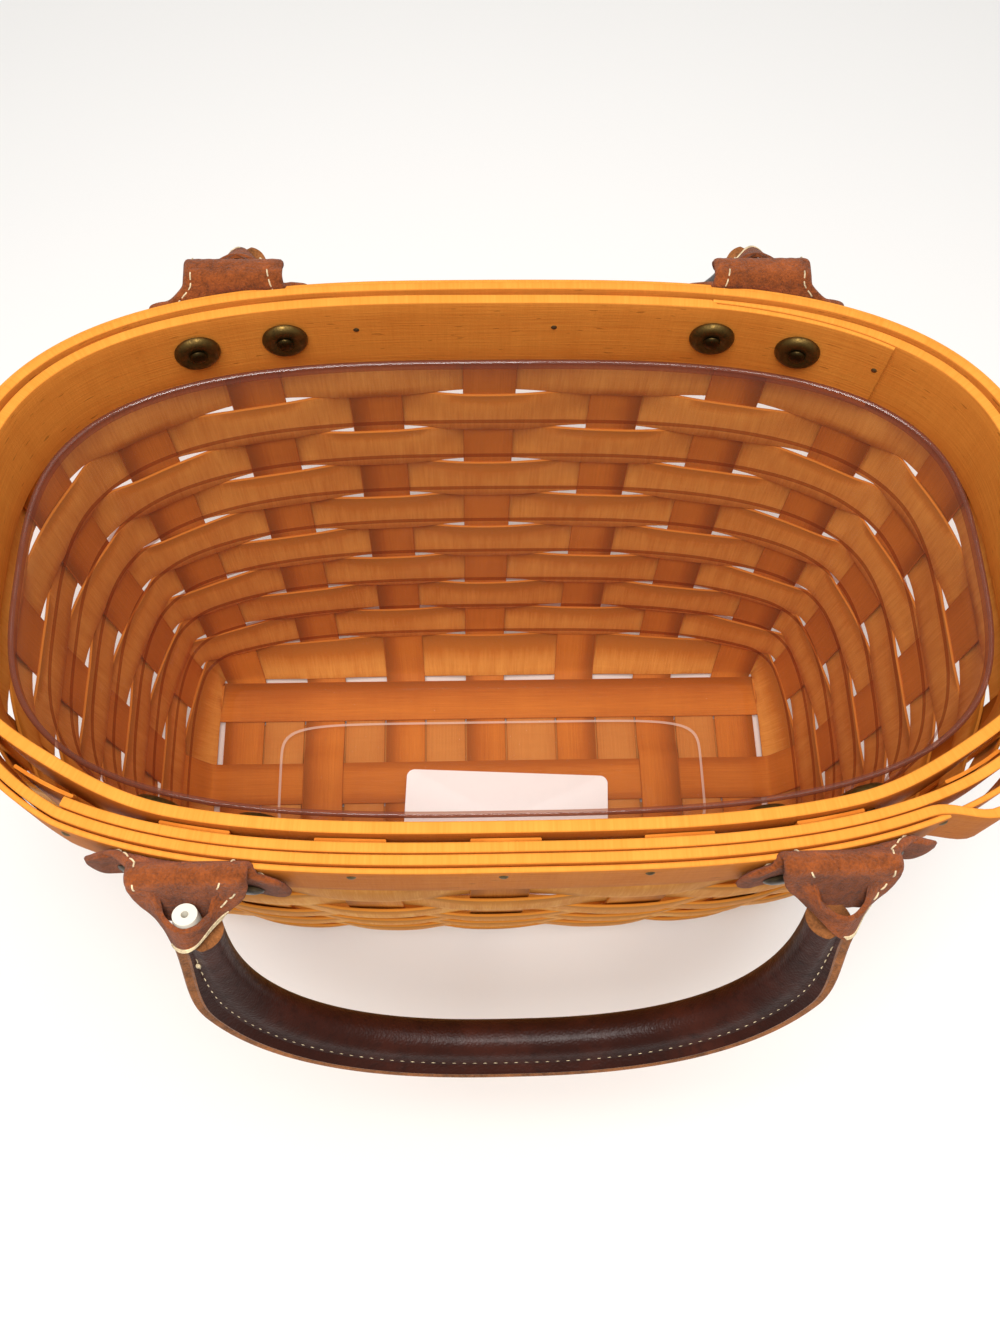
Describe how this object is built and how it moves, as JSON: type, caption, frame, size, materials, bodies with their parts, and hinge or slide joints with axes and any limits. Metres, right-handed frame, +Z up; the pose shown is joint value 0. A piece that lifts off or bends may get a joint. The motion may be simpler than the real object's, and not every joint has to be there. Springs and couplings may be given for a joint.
{
  "type": "woven splint basket",
  "caption": "Oval basket of flat woven wood splints, with bent rim bands, leather swing handles on riveted ears, and a lift-out clear liner.",
  "frame": {"origin": "under the middle of the base, on the surface that the basket stands on", "axes": "+Z up, +X along the oval to the right, -Y the front"},
  "size_m": [0.2967, 0.2576, 0.2229],
  "materials": {
    "splint": "satin",
    "band": "satin",
    "suede": "matte",
    "leather": "gloss",
    "core": "matte",
    "brass": "satin",
    "clear": "gloss",
    "thread": "matte",
    "card": "matte"
  },
  "bodies": {
    "basket": {"back_ear_strap_left": "suede", "back_ear_strap_right": "suede", "cross_filler_1": "splint", "cross_filler_2": "splint", "cross_filler_3": "splint", "cross_filler_4": "splint", "cross_filler_5": "splint", "cross_filler_6": "splint", "cross_stake_1": "splint", "cross_stake_2": "splint", "cross_stake_3": "splint", "cross_stake_4": "splint", "cross_stake_5": "splint", "cross_stake_6": "splint", "cross_stake_7": "splint", "front_ear_strap_left": "suede", "front_ear_strap_right": "suede", "inner_band": "band", "long_filler_1": "splint", "long_filler_2": "splint", "long_stake_1": "splint", "long_stake_2": "splint", "long_stake_3": "splint", "outer_band": "band", "rivet_back_left_1": "brass", "rivet_back_left_2": "brass", "rivet_back_right_1": "brass", "rivet_back_right_2": "brass", "rivet_front_left_1": "brass", "rivet_front_left_2": "brass", "rivet_front_right_1": "brass", "rivet_front_right_2": "brass", "trim_strip": "band", "washer_back_left_1": "brass", "washer_back_left_2": "brass", "washer_back_right_1": "brass", "washer_back_right_2": "brass", "washer_front_left_1": "brass", "washer_front_left_2": "brass", "washer_front_right_1": "brass", "washer_front_right_2": "brass", "weaver_01": "splint", "weaver_02": "splint", "weaver_03": "splint", "weaver_04": "splint", "weaver_05": "splint", "weaver_06": "splint", "weaver_07": "splint", "weaver_08": "splint", "weaver_09": "splint", "weaver_10": "splint"},
    "front_handle": {"front_ear_tab_left": "suede", "front_ear_tab_right": "suede", "front_handle_core": "core", "front_handle_leather": "leather"},
    "back_handle": {"back_ear_tab_left": "suede", "back_ear_tab_right": "suede", "back_handle_core": "core", "back_handle_leather": "leather"},
    "liner": {"clear_liner": "suede"}
  },
  "joints": [
    {"name": "front_handle_swing", "type": "hinge", "parent": "basket", "child": "front_handle", "pos_m": [0, -0.08911, 0.22192], "axis": [-1, 0, 0], "range_deg": [-10, 165]},
    {"name": "back_handle_swing", "type": "hinge", "parent": "basket", "child": "back_handle", "pos_m": [0, 0.08911, 0.22192], "axis": [1, 0, 0], "range_deg": [-10, 165]},
    {"name": "liner_lift", "type": "slide", "parent": "basket", "child": "liner", "axis": [0, 0, 1], "range_m": [0, 0.22]}
  ]
}
